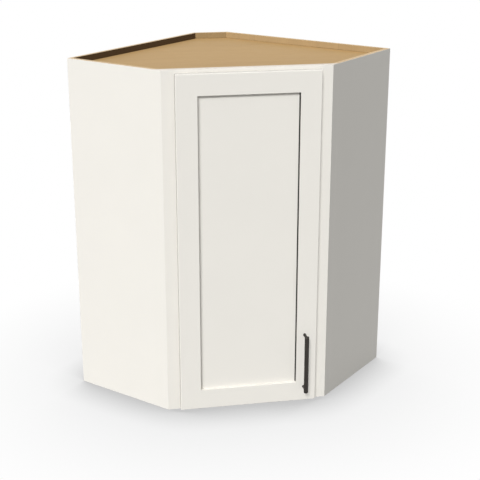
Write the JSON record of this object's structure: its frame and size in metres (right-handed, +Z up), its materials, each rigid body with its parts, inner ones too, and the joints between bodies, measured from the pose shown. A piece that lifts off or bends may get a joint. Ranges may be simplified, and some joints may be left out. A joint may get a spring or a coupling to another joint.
{
  "type": "corner wall cabinet",
  "caption": "Diagonal corner wall cabinet: a plywood box with a face frame, a white recessed-panel door on concealed hinges, loose shelves inside and a dark vertical bar pull.",
  "frame": {"origin": "under the middle of the whole cabinet, on the plane of its foot", "axes": "+Z up, the door faces -Y, +X to the right of someone who faces the door"},
  "size_m": [0.8622, 0.6512, 0.9144],
  "materials": {
    "white_paint": "satin white paint on hardwood",
    "painted_plywood": "plywood, white paint outside, clear maple inside",
    "plywood": "clear-coated maple plywood",
    "dark_metal": "dark bronze, satin",
    "steel": "nickel plated",
    "clear_rubber": "soft clear bumper"
  },
  "bodies": {
    "cabinet": {"bottom_panel": "plywood", "corner_back_panel": "plywood", "frame_bottom_rail": "white_paint", "frame_left_stile": "white_paint", "frame_right_stile": "white_paint", "frame_top_rail": "white_paint", "left_back_panel": "plywood", "left_bottom_hang_rail": "plywood", "left_side_panel": "painted_plywood", "left_top_hang_rail": "plywood", "lower_hinge_arm": "steel", "lower_hinge_arm_screw": "steel", "lower_hinge_plate": "steel", "lower_hinge_plate_screw_1": "steel", "lower_hinge_plate_screw_2": "steel", "lower_shelf": "plywood", "lower_shelf_corner_pin": "steel", "lower_shelf_left_back_pin": "steel", "lower_shelf_left_side_pin": "steel", "lower_shelf_right_back_pin": "steel", "lower_shelf_right_side_pin": "steel", "right_back_panel": "plywood", "right_bottom_hang_rail": "plywood", "right_side_panel": "painted_plywood", "right_top_hang_rail": "plywood", "top_panel": "plywood", "upper_hinge_arm": "steel", "upper_hinge_arm_screw": "steel", "upper_hinge_plate": "steel", "upper_hinge_plate_screw_1": "steel", "upper_hinge_plate_screw_2": "steel", "upper_shelf": "plywood", "upper_shelf_corner_pin": "steel", "upper_shelf_left_back_pin": "steel", "upper_shelf_left_side_pin": "steel", "upper_shelf_right_back_pin": "steel", "upper_shelf_right_side_pin": "steel"},
    "door": {"door_bottom_rail": "white_paint", "door_centre_panel": "white_paint", "door_handle_stile": "white_paint", "door_hinge_stile": "white_paint", "door_top_rail": "white_paint", "lower_door_bumper": "clear_rubber", "lower_hinge_cup": "steel", "lower_hinge_cup_screw_1": "steel", "lower_hinge_cup_screw_2": "steel", "lower_hinge_pin": "steel", "pull_bar": "dark_metal", "pull_lower_post": "dark_metal", "pull_lower_screw": "steel", "pull_upper_post": "dark_metal", "pull_upper_screw": "steel", "upper_door_bumper": "clear_rubber", "upper_hinge_cup": "steel", "upper_hinge_cup_screw_1": "steel", "upper_hinge_cup_screw_2": "steel", "upper_hinge_pin": "steel"}
  },
  "joints": [
    {"name": "door_swing", "type": "hinge", "parent": "cabinet", "child": "door", "pos_m": [-0.17595, -0.28358, 0.4572], "axis": [0, 0, -1], "range_deg": [0, 105]}
  ]
}
